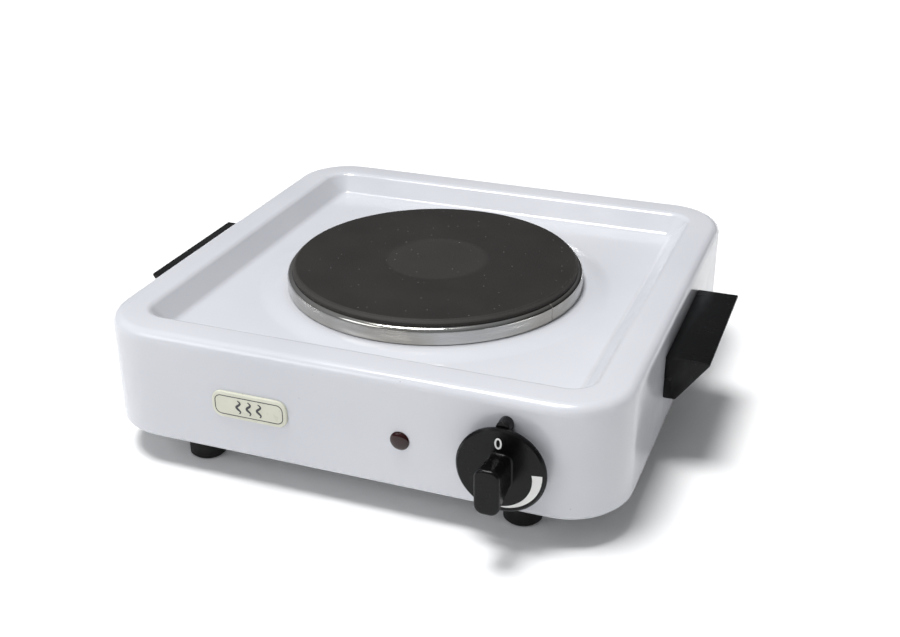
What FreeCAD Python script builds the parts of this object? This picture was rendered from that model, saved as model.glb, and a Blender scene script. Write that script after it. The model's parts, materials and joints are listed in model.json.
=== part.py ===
"""Single hot plate burner: enamelled casing, cast-iron plate, rotary control and mains wiring.

Frame: +Z up, front of the burner towards -Y, +X to the right, origin on the table under the
middle of the overall box. Lengths are in millimetres. The driving dimensions are in the
spreadsheet "Sizes"; every piece reads them through expressions.
"""
import FreeCAD, Part
import math
import os
import re

import Sketcher
from FreeCAD import Placement, Rotation, Vector

SIZES = {
    # casing
    "body_width": (253, "casing, left to right"),
    "body_depth": (248, "casing, front to back"),
    "body_height": (54.5, "casing wall, lower edge to rim"),
    "body_corner": (30, "casing corner radius"),
    "body_sheet": (1.0, "casing steel with its enamel"),
    "edge_round": (5.0, "roll where the wall turns into the rim"),
    "lower_round": (1.6, "roll where the wall turns into the flange"),
    "rim_round": (3.5, "roll where the rim turns into the slope"),
    "panel_round": (3.0, "roll where the slope turns into the panel"),
    "rim_width": (17, "rim, outer wall to the top of the slope"),
    "slope_run": (9, "slope from rim to panel, seen from above"),
    "panel_drop": (10.3, "panel below the rim"),
    "flange_width": (13, "flange under the casing wall"),
    "cover_screw": (1.5, "bottom cover screw thread"),
    "cover_screw_span": (120, "bottom cover screws, front to back"),
    "boss_rise": (1.5, "round rise under the plate"),
    "boss_slope": (11, "round rise, width of its slope"),
    "boss_margin": (5, "round rise, its flat beyond the spill ring"),
    "panel_hole_gap": (2.5, "hole under the plate, round the casting"),
    # bottom cover and feet
    "cover_sheet": (0.8, "bottom cover steel"),
    "cover_inset": (1.8, "bottom cover behind the casing wall"),
    "vent_length": (34, "vent slot"),
    "vent_width": (3.4, "vent slot"),
    "vent_pitch": (9, "vent slot spacing"),
    "foot_height": (15.2, "foot"),
    "foot_radius": (8.8, "foot"),
    "foot_span_x": (160, "feet, left to right"),
    "foot_span_y": (209, "feet, front to back"),
    "foot_screw_radius": (2.0, "foot screw thread"),
    # hot plate
    "plate_y": (-5.0, "middle of the plate, behind the middle of the casing"),
    "plate_radius": (72.5, "cast-iron plate"),
    "plate_above_rim": (2.8, "cooking face above the rim"),
    "plate_chamfer": (1.6, "edge of the cooking face"),
    "recess_radius": (26, "shallow recess in the cooking face"),
    "recess_depth": (0.9, "shallow recess in the cooking face"),
    "casting_seat": (6.0, "seat under the plate's edge, its width"),
    "casting_skirt_drop": (8.2, "casting below its seat"),
    "casting_wall": (4.5, "side wall round the heating coils"),
    "casting_crown": (6.4, "iron between coils and cooking face"),
    "hub_radius": (13, "hub round the stud"),
    "ring_sheet": (0.8, "stainless spill ring"),
    "ring_margin": (2.5, "spill ring beyond the plate"),
    "ring_wall": (7.7, "spill ring, its top above the seat"),
    "coil_radius": (2.2, "heating coil, outer radius of its winding"),
    "coil_inner": (24, "inner heating coil, mean radius"),
    "coil_margin": (12, "outer heating coil from the casting's wall"),
    "shield_sheet": (0.6, "sheet cover under the coils"),
    "stud_radius": (3.0, "centre stud thread"),
    "stud_length": (24.5, "centre stud below the iron it screws into"),
    "pin_back": (40, "plate terminal pins, behind the middle of the plate"),
    "pin_pitch": (9, "plate terminal pins"),
    "plate_pin": (1.6, "plate terminal pin radius"),
    "plate_block": (12, "plate terminal block, height"),
    "bridge_sheet": (2.0, "clamping bridge"),
    "bridge_width": (22, "clamping bridge"),
    "bridge_drop": (8.0, "clamping bridge below the sheet cover"),
    # control
    "dial_x": (78, "control, right of the centre"),
    "dial_z": (40, "control, above the table"),
    "knob_radius": (19.9, "knob disc"),
    "knob_gap": (1.6, "knob skirt to casing"),
    "skirt_depth": (6.6, "knob disc and collar, front to back"),
    "skirt_bevel": (0.9, "knob disc edge"),
    "disc_depth": (1.9, "knob disc, front to back"),
    "collar_radius": (16.5, "knob collar behind the disc"),
    "knob_shell": (1.5, "knob wall"),
    "knob_reach": (26, "casing to the front of the grip"),
    "grip_width": (11.2, "grip bar at its front"),
    "grip_length": (21.6, "grip bar at its front"),
    "grip_root_width": (9.4, "grip bar at the disc"),
    "grip_root_length": (16, "grip bar at the disc"),
    "spindle_radius": (3.0, "control spindle"),
    "spindle_flat": (1.9, "axis to the flat of the spindle"),
    "clip_sheet": (0.4, "spring clip on the spindle's flat"),
    "running_gap": (0.05, "radial clearance of a turning or sliding fit"),
    "fit_gap": (0.1, "clearance of a fixed fit"),
    "free_gap": (0.3, "gap between pieces that move past each other"),
    # regulator
    "front_plate": (1.2, "regulator front plate"),
    "bush_radius": (4.5, "bush round the spindle"),
    "base_left": (24, "regulator base, left of the spindle"),
    "base_right": (16, "regulator base, right of the spindle"),
    "base_height": (32, "regulator base"),
    "base_depth": (22, "regulator base, front to back"),
    "base_wall": (2.5, "regulator base"),
    "base_cover": (1.8, "regulator rear cover"),
    "cam_low": (5.0, "cam radius at zero"),
    "cam_lift": (1.8, "cam rise over its whole turn"),
    "cam_depth": (5.0, "cam, front to back"),
    "cam_start": (8.0, "front of the base to the cam"),
    "pin_radius": (1.5, "push pin"),
    "pin_length": (7.7, "push pin"),
    "guide_start": (7.5, "spindle to the pin guide"),
    "guide_length": (4.0, "pin guide"),
    "arm_sheet": (0.8, "contact arm"),
    "arm_width": (6.0, "contact arm"),
    "arm_below": (10.8, "push pin to the arm's pivot"),
    "arm_above": (12, "push pin to the arm's tip"),
    "eye_radius": (1.2, "eye at the foot of the contact arm"),
    "hinge_pin": (0.6, "radius of the pin the contact arm turns on"),
    "lug_sheet": (1.5, "lugs that carry the hinge pin"),
    "post_width": (4.0, "contact arm's post"),
    "contact_radius": (2.0, "contact rivet"),
    "contact_depth": (1.0, "contact rivet"),
    "contact_height": (9.5, "pin to the contacts"),
    "contact_travel": (4.0, "rivet to rivet with the control at zero"),
    "tab_length": (8.0, "regulator tabs behind the rear cover"),
    "screw_radius": (2.0, "regulator and handle screw thread"),
    "screw_spread": (11.1, "regulator screws from the spindle"),
    # front wall details
    "pointer_width": (6.2, "fixed pointer"),
    "pointer_depth": (5.8, "fixed pointer"),
    "pointer_rise": (4.9, "fixed pointer"),
    "lamp_x": (29.6, "pilot lamp, right of the centre"),
    "lamp_z": (39.8, "pilot lamp, above the table"),
    "lens_radius": (4.5, "pilot lens"),
    "lens_dome": (1.8, "pilot lens in front of the casing"),
    "lamp_hole": (3.8, "pilot lamp hole radius"),
    "lamp_depth": (17, "pilot lamp holder behind the casing"),
    "badge_x": (-43.4, "badge, from the centre"),
    "badge_z": (41.4, "badge, above the table"),
    "badge_width": (38, "badge"),
    "badge_height": (13.3, "badge"),
    "badge_depth": (1.3, "badge"),
    # side handles
    "handle_length": (79.5, "handle, front to back"),
    "handle_reach": (20.5, "handle out from the casing"),
    "handle_top": (56.9, "handle top above the table"),
    "handle_drop": (21.6, "handle top to its lower edge"),
    "handle_foot": (5.8, "handle lower edge, out from the casing"),
    "handle_tip": (1.4, "blunt outer edge of the handle"),
    "handle_wall": (2.4, "handle moulding"),
    "handle_screw_span": (50, "handle screws"),
    "handle_screw_drop": (9, "handle top to its screws"),
    # back wall
    "gland_x": (84, "cord gland, right of the centre"),
    "gland_z": (34, "cord gland, above the table"),
    "gland_bore": (3.7, "cord gland bore radius"),
    "gland_neck": (6.0, "cord gland neck radius"),
    "gland_flange": (9.0, "cord gland flange radius"),
    "gland_reach": (9.0, "cord gland outside the casing"),
    "gland_inside": (11.0, "cord gland inside the casing"),
    "block_x": (36, "mains terminal block, right of the centre"),
    "block_z": (38, "mains terminal block, above the table"),
    "block_width": (34, "mains terminal block"),
    "block_depth": (16, "mains terminal block"),
    "block_height": (14, "mains terminal block"),
    "block_pitch": (11, "poles of the mains terminal block"),
    "insert_size": (5.4, "brass insert, width and depth"),
    "earth_x": (4, "earth screw, right of the centre"),
    "earth_z": (34, "earth screw, above the table"),
    "wire_radius": (1.5, "insulated wire"),
    "lead_radius": (0.9, "pilot lamp lead"),
}

DOC = FreeCAD.newDocument("hot_plate_burner")
SHEET = DOC.addObject("Spreadsheet::Sheet", "Sizes")
for row, (alias, (value, note)) in enumerate(SIZES.items(), start=1):
    SHEET.set(f"A{row}", alias)
    SHEET.set(f"B{row}", str(value))
    SHEET.set(f"C{row}", note)
    SHEET.setAlias(f"B{row}", alias)
DOC.recompute()

ALIASES = re.compile(r"\b(" + "|".join(SIZES) + r")\b")
NODES = []
PLACES = {}

# Levels and faces that several pieces share, worked out from the sheet.
WALL_FOOT = "(foot_height + cover_sheet)"
RIM = f"({WALL_FOOT} + body_height)"
PANEL = f"({RIM} - panel_drop)"
BOSS = f"({PANEL} + boss_rise)"
SEAT = f"({BOSS} + ring_sheet)"
PLATE_TOP = f"({RIM} + plate_above_rim)"
CASTING_FOOT = f"({SEAT} - casting_skirt_drop)"
CASTING_RADIUS = "(plate_radius - casting_seat)"
PANEL_HOLE = f"({CASTING_RADIUS} + panel_hole_gap)"
RING_RADIUS = "(plate_radius + ring_margin)"
BOSS_TOP_RADIUS = f"({RING_RADIUS} + boss_margin)"
BOSS_FOOT_RADIUS = f"({BOSS_TOP_RADIUS} + boss_slope)"
SHIELD_FOOT = f"({CASTING_FOOT} - shield_sheet)"
BRIDGE_TOP = f"({SHIELD_FOOT} - bridge_drop + bridge_sheet)"
FRONT = "(-body_depth / 2)"
BACK = "(body_depth / 2)"
FRONT_INSIDE = f"({FRONT} + body_sheet)"
BACK_INSIDE = f"({BACK} - body_sheet)"
BODY_Y = "((knob_reach - gland_reach) / 2)"

TURNS = {
    "+Z": Rotation(),
    "-Z": Rotation(Vector(1, 0, 0), 180),
    "-Y": Rotation(Vector(1, 0, 0), 90),
    "+Y": Rotation(Vector(1, 0, 0), -90),
    "+X": Rotation(Vector(0, 1, 0), 90),
    "-X": Rotation(Vector(0, 1, 0), -90),
}
FAR = 500
TRAVEL = 270
FIT = "fit_gap / 2"
LIP_STEPS = (0, 18, 36, 54, 72, 90)
BASE_FRONT = f"({FRONT_INSIDE} + front_plate)"
PIN_FOOT = f"({SHIELD_FOOT} - plate_block - 5)"
CAM_Y = f"({BASE_FRONT} + cam_start + cam_depth / 2)"
BASE_FLOOR = "(dial_z - base_height / 2 + base_wall)"
ARM_X = "(dial_x - cam_low - pin_length - 2 * free_gap - arm_sheet / 2)"
PIVOT_Z = "(dial_z - arm_below)"
POST_HEIGHT = f"({PIVOT_Z} - eye_radius - free_gap - {BASE_FLOOR})"
POST_Z = f"({BASE_FLOOR} + {POST_HEIGHT} / 2)"
STRIP_X = f"({ARM_X} - arm_sheet - 2 * contact_depth - contact_travel)"
CONTACT_Z = "(dial_z + contact_height)"
TAB_END = f"({BASE_FRONT} + base_depth + base_cover + tab_length)"
PIN_Y = "(plate_y + pin_back)"
PINS = ("-pin_pitch", "0", "pin_pitch")
PLATE_AT = (0, "plate_y", 0)
POLES = ("block_x - block_pitch", "block_x", "block_x + block_pitch")

HANDLE_SCREW_Z = "(handle_top - handle_screw_drop)"
HANDLE_SCREWS = ("-handle_screw_span / 2", "handle_screw_span / 2")
FLANGE_MIDDLE = "(body_width / 2 - body_sheet - flange_width / 2)"
COVER_SCREWS = [(f"{sx} * {FLANGE_MIDDLE}", f"{sy} * cover_screw_span / 2")
                for sx in (-1, 1) for sy in (-1, 1)]
FEET = {
    "foot_front_left": ("-foot_span_x / 2", "-foot_span_y / 2"),
    "foot_front_right": ("foot_span_x / 2", "-foot_span_y / 2"),
    "foot_rear_left": ("-foot_span_x / 2", "foot_span_y / 2"),
    "foot_rear_right": ("foot_span_x / 2", "foot_span_y / 2"),
}
POINTER_FOOT = "(dial_z + collar_radius + 2 * free_gap)"
POINTER_PIN_Z = f"({POINTER_FOOT} + pointer_rise - pointer_width / 2)"
FRONT_HOLES = [
    ("dial_x", "dial_z", "bush_radius + fit_gap"),
    ("dial_x", "dial_z + screw_spread", "screw_radius + fit_gap"),
    ("dial_x", "dial_z - screw_spread", "screw_radius + fit_gap"),
    ("dial_x", POINTER_PIN_Z, "1.5 + fit_gap"),
    ("lamp_x", "lamp_z", "lamp_hole + fit_gap"),
    ("badge_x - badge_width / 3", "badge_z", "1.2 + fit_gap"),
    ("badge_x + badge_width / 3", "badge_z", "1.2 + fit_gap"),
]
BACK_HOLES = [
    ("gland_x", "gland_z", "gland_neck + fit_gap"),
    ("block_x + block_pitch / 2", "block_z", "screw_radius + fit_gap"),
    ("earth_x", "earth_z", "screw_radius + fit_gap"),
]

# ---------------------------------------------------------------- helpers

def formula(text):
    """Expression text with every size's name pointing at the sheet."""
    return ALIASES.sub(r"Sizes.\1", str(text))


def number(text):
    """Present value of an expression."""
    return float(SHEET.evalExpression(formula(text)))


def bind(thing, **formulas):
    """Tie properties of an object to expressions."""
    for name, text in formulas.items():
        thing.setExpression(name, formula(text))
    return thing


def place(thing, at=(0, 0, 0), facing="+Z"):
    """Put an object's origin at a point, with its own Z turned to face along an axis."""
    thing.Placement = Placement(Vector(), TURNS[facing])
    for axis, text in zip("xyz", at):
        thing.setExpression(f"Placement.Base.{axis}", formula(text))
    PLACES[thing.Name] = [str(text) for text in at]
    return thing


def node(thing, label):
    """Name a finished sub-part and move it from the casing's middle to the burner's frame."""
    thing.Label = label
    at = PLACES.get(thing.Name, ["0", "0", "0"])
    thing.setExpression("Placement.Base.y", formula(f"{at[1]} + {BODY_Y}"))
    NODES.append(thing)
    return thing


def box(size, at):
    """Box whose middle is at a point."""
    thing = DOC.addObject("Part::Box", "Block")
    bind(thing, Length=size[0], Width=size[1], Height=size[2])
    return place(thing, [f"({p}) - ({s}) / 2" for p, s in zip(at, size)])


def rod(radius, length, at, facing="+Z"):
    """Cylinder that starts at a point and runs along an axis."""
    thing = DOC.addObject("Part::Cylinder", "Rod")
    bind(thing, Radius=radius, Height=length)
    return place(thing, at, facing)


def fuse(*things):
    """Union of several objects."""
    joined = DOC.addObject("Part::MultiFuse", "Union")
    joined.Shapes = list(things)
    joined.Refine = True
    return joined


def cut(base, *tools):
    """Base with every tool taken away."""
    result = DOC.addObject("Part::Cut", "Cut")
    result.Base = base
    result.Tool = tools[0] if len(tools) == 1 else fuse(*tools)
    result.Refine = True
    return result


def group(things):
    """Several separate solids in one sub-part."""
    together = DOC.addObject("Part::Compound", "Group")
    together.Links = list(things)
    return together


def new_body():
    """Empty PartDesign body."""
    return DOC.addObject("PartDesign::Body", "Body")


def new_sketch(body, role, offset="0"):
    """Sketch on one of a body's own planes, moved out along the plane's normal."""
    sketch = body.newObject("Sketcher::SketchObject", "Sketch")
    plane = next(f for f in body.Origin.OriginFeatures if f.Role == role)
    sketch.AttachmentSupport = [(plane, "")]
    sketch.MapMode = "FlatFace"
    sketch.setExpression("AttachmentOffset.Base.z", formula(offset))
    return sketch


def dimension(sketch, kind, text, *where):
    """Dimension tied to an expression."""
    index = sketch.addConstraint(Sketcher.Constraint(kind, *where, number(text)))
    sketch.setExpression(f"Constraints[{index}]", formula(text))


def polygon(body, role, points, offset="0"):
    """Closed outline through points, each held by its two coordinates."""
    sketch = new_sketch(body, role, offset)
    corners = [Vector(number(u), number(v), 0) for u, v in points]
    count = len(corners)
    for i in range(count):
        sketch.addGeometry(Part.LineSegment(corners[i], corners[(i + 1) % count]))
    for i in range(count):
        sketch.addConstraint(Sketcher.Constraint("Coincident", i, 2, (i + 1) % count, 1))
    for i, (u, v) in enumerate(points):
        dimension(sketch, "DistanceX", u, -1, 1, i, 1)
        dimension(sketch, "DistanceY", v, -1, 1, i, 1)
    return sketch


def rounded_rectangle(body, role, width, depth, radius, offset="0"):
    """Rectangle about the origin with tangent arcs at its corners."""
    sketch = new_sketch(body, role, offset)
    half_w, half_d, r = number(width) / 2, number(depth) / 2, number(radius)
    quarter = math.pi / 2
    centres = [(half_w - r, -half_d + r), (half_w - r, half_d - r),
               (-half_w + r, half_d - r), (-half_w + r, -half_d + r)]
    for i, (cx, cy) in enumerate(centres):
        circle = Part.Circle(Vector(cx, cy, 0), Vector(0, 0, 1), r)
        sketch.addGeometry(Part.ArcOfCircle(circle, (i - 1) * quarter, i * quarter))
    for i in range(4):
        leave = sketch.Geometry[i].EndPoint
        arrive = sketch.Geometry[(i + 1) % 4].StartPoint
        sketch.addGeometry(Part.LineSegment(leave, arrive))
    for i in range(4):
        sketch.addConstraint(Sketcher.Constraint("Tangent", i, 2, 4 + i, 1))
        sketch.addConstraint(Sketcher.Constraint("Tangent", 4 + i, 2, (i + 1) % 4, 1))
    for line, kind in ((4, "Vertical"), (5, "Horizontal"), (6, "Vertical"), (7, "Horizontal")):
        sketch.addConstraint(Sketcher.Constraint(kind, line))
    for i in (1, 2, 3):
        sketch.addConstraint(Sketcher.Constraint("Equal", 0, i))
    dimension(sketch, "Radius", radius, 0)
    dimension(sketch, "DistanceX", f"({width}) / 2", -1, 1, 4, 1)
    dimension(sketch, "DistanceX", f"-({width}) / 2", -1, 1, 6, 1)
    dimension(sketch, "DistanceY", f"({depth}) / 2", -1, 1, 5, 1)
    dimension(sketch, "DistanceY", f"-({depth}) / 2", -1, 1, 7, 1)
    return sketch


def pad(body, sketch, length, both_ways=False):
    """Extrude a sketch along its normal."""
    feature = body.newObject("PartDesign::Pad", "Pad")
    feature.Profile = sketch
    feature.Midplane = both_ways
    bind(feature, Length=length)
    DOC.recompute()
    return feature


def round_edges(body, radius, chosen):
    """Fillet the edges of a body that a test picks out."""
    base = body.Tip
    names = [f"Edge{i}" for i, edge in enumerate(base.Shape.Edges, start=1) if chosen(edge)]
    fillet = body.newObject("PartDesign::Fillet", "Fillet")
    fillet.Base = (base, names)
    bind(fillet, Radius=radius)
    DOC.recompute()
    return fillet


def at_height(level):
    """Test for edges that lie flat at one height."""
    height = number(level)

    def chosen(edge):
        span = edge.BoundBox
        return abs(span.ZMin - height) < 1e-4 and abs(span.ZMax - height) < 1e-4
    return chosen


def turned(points, at=(0, 0, 0), facing="+Z"):
    """Body of revolution about its own Z from a half profile of (radius, height) points."""
    body = new_body()
    spin = body.newObject("PartDesign::Revolution", "Revolution")
    spin.Profile = polygon(body, "XZ_Plane", points)
    spin.ReferenceAxis = (spin.Profile[0], ["V_Axis"])
    spin.Angle = 360
    body.Tip = spin
    return place(body, at, facing)


def extruded(role, points, length, at=(0, 0, 0), both_ways=True):
    """Prism from a polygon drawn on one of the body's planes."""
    body = new_body()
    pad(body, polygon(body, role, points), length, both_ways)
    return place(body, at)


def hexagon(across, length, bore, at, facing="+Z"):
    """Hexagonal nut."""
    body = new_body()
    corners = [(f"{across} / sqrt(3) * cos({60 * i})", f"{across} / sqrt(3) * sin({60 * i})")
               for i in range(6)]
    pad(body, polygon(body, "XY_Plane", corners), length)
    body.Placement = Placement()
    return place(cut(body, rod(bore, length, (0, 0, 0))), at, facing)


def screw(radius, length, head_radius, head_depth, at, facing="+Z"):
    """Cheese-head screw: its shank leaves the point along an axis, its head lies behind it."""
    shank = turned([(0, 0), (0, length), (f"{radius} - 0.4", length), (radius, f"{length} - 0.4"),
                    (radius, 0), (head_radius, 0), (head_radius, f"-({head_depth}) * 0.7"),
                    (f"{head_radius} - 0.5", f"-({head_depth})"), (0, f"-({head_depth})")])
    slot = box((f"{head_radius} * 2.2", "0.8", f"{head_depth} * 0.9"), (0, 0, f"-({head_depth})"))
    return place(cut(shank, slot), at, facing)


def wire(label, points, radius="wire_radius"):
    """Insulated wire: straight runs joined by tangent arcs, through points."""
    corners = [Vector(*[number(value) for value in point]) for point in points]
    runs = [(b - a).Length for a, b in zip(corners, corners[1:])]
    edges, start = [], corners[0]
    for i in range(1, len(corners) - 1):
        back = (corners[i - 1] - corners[i]).normalize()
        ahead = (corners[i + 1] - corners[i]).normalize()
        turn = math.pi - back.getAngle(ahead)
        reach = 0.45 * min(runs[i - 1], runs[i])
        bend = reach / math.tan(turn / 2)
        middle = corners[i] + (back + ahead).normalize() * bend * (1 / math.cos(turn / 2) - 1)
        arc_start, arc_end = corners[i] + back * reach, corners[i] + ahead * reach
        edges.append(Part.LineSegment(start, arc_start).toShape())
        edges.append(Part.Arc(arc_start, middle, arc_end).toShape())
        start = arc_end
    edges.append(Part.LineSegment(start, corners[-1]).toShape())
    path = Part.Wire(edges)
    section = Part.Wire(Part.Circle(corners[0], corners[1] - corners[0], number(radius)).toShape())
    thing = DOC.addObject("Part::Feature", "Wire")
    thing.Shape = path.makePipeShell([section], True, False)
    return node(thing, label)


# ---------------------------------------------------------------- casing

def casing_outline(body, inset, level):
    """The casing's outline seen from above, moved inwards, at one level."""
    return rounded_rectangle(body, "XY_Plane", f"body_width - 2 * {inset}", f"body_depth - 2 * {inset}",
                             f"body_corner - {inset}", level)


def tray_block(inset, lower):
    """The casing's block, or the hollow inside it when inset by the sheet."""
    body = new_body()
    top = f"({RIM} - {inset})"
    spread = f"({inset} * tan(45 deg - atan(slope_run / panel_drop) / 2))"
    pad(body, casing_outline(body, inset, lower), f"{top} - {lower}")
    round_edges(body, f"edge_round - {inset}", at_height(top))
    panel, boss = f"({PANEL} - {inset})", f"({BOSS} - {inset})"
    well = body.newObject("PartDesign::SubtractiveLoft", "Well")
    well.Profile = casing_outline(body, f"(rim_width - {spread})", top)
    well.Sections = [casing_outline(body, f"(rim_width + slope_run - {spread})", panel)]
    body.Tip = well
    DOC.recompute()
    rise = body.newObject("PartDesign::Revolution", "Rise")
    rise.Profile = polygon(body, "XZ_Plane", [(0, f"{panel} - 1"), (BOSS_FOOT_RADIUS, f"{panel} - 1"),
                                              (BOSS_FOOT_RADIUS, panel), (BOSS_TOP_RADIUS, boss),
                                              (0, boss)], "-plate_y")
    rise.ReferenceAxis = (rise.Profile[0], ["V_Axis"])
    rise.Angle = 360
    body.Tip = rise
    DOC.recompute()
    return body


def casing():
    """Pressed tray with rim, slope, sunk panel, round rise, holes and a flange under its wall."""
    block = tray_block("0", WALL_FOOT)
    round_edges(block, "lower_round", at_height(WALL_FOOT))
    round_edges(block, "rim_round", at_height(RIM))
    round_edges(block, "panel_round", at_height(PANEL))
    hollow = tray_block("body_sheet", f"({WALL_FOOT} + body_sheet)")
    mouth = new_body()
    pad(mouth, casing_outline(mouth, "(body_sheet + flange_width)", f"{WALL_FOOT} - 1"), "body_sheet + 2")
    holes = [rod(PANEL_HOLE, FAR, (0, "plate_y", WALL_FOOT))]
    through = "body_sheet * 3"
    for x, z, radius in FRONT_HOLES:
        holes.append(rod(radius, through, (x, f"{FRONT} - body_sheet", z), "+Y"))
    for x, z, radius in BACK_HOLES:
        holes.append(rod(radius, through, (x, f"{BACK} + body_sheet", z), "-Y"))
    for side, facing in ((1, "+X"), (-1, "-X")):
        inner_x = f"{side} * (body_width / 2 - 2 * body_sheet)"
        for y in HANDLE_SCREWS:
            holes.append(rod("screw_radius + fit_gap", through, (inner_x, y, HANDLE_SCREW_Z), facing))
    for x, y in COVER_SCREWS:
        holes.append(rod(f"cover_screw + {FIT}", through, (x, y, f"{WALL_FOOT} - body_sheet")))
    node(cut(block, hollow, mouth, *holes), "enamel_body")


def bottom_cover():
    """Flat sheet under the flange with two banks of vent slots."""
    sheet = new_body()
    pad(sheet, rounded_rectangle(sheet, "XY_Plane", "body_width - 2 * cover_inset",
                                 "body_depth - 2 * cover_inset", "body_corner - cover_inset",
                                 "foot_height"), "cover_sheet")
    openings = []
    for bank in (-1, 1):
        for i in range(-3, 4):
            openings.append(box(("vent_width", "vent_length", 10),
                                (f"{i} * vent_pitch", f"{bank} * (vent_length / 2 + 12)", "foot_height")))
    for x, y in COVER_SCREWS:
        openings.append(rod("cover_screw + fit_gap", 10, (x, y, "foot_height - 5")))
    for x, y in FEET.values():
        openings.append(rod("foot_screw_radius + fit_gap", 10, (x, y, "foot_height - 5")))
    node(cut(sheet, *openings), "bottom_cover")
    node(group([screw("cover_screw", 6, 3, 1.8, (x, y, "foot_height")) for x, y in COVER_SCREWS]),
         "bottom_cover_screws")


def feet():
    """Four moulded feet, each with a screw up into a nut on the cover."""
    hole = "foot_screw_radius + fit_gap"
    bore, seat = "foot_screw_radius + 2.4", "foot_height - 6"
    screws, nuts = [], []
    for label, (x, y) in FEET.items():
        foot = turned([(bore, 0), ("foot_radius - 1.2", 0), ("foot_radius", 1.2),
                       ("foot_radius", "foot_height"), (hole, "foot_height"), (hole, seat), (bore, seat)],
                      (x, y, 0))
        node(foot, label)
        screws.append(screw("foot_screw_radius", "6 + cover_sheet + 4", "foot_screw_radius + 1.8", 2.6,
                            (x, y, seat)))
        nuts.append(hexagon("foot_screw_radius * 3.5", 3.2, hole, (x, y, WALL_FOOT)))
    node(group(screws), "foot_screws")
    node(group(nuts), "foot_nuts")


# ---------------------------------------------------------------- hot plate

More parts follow.
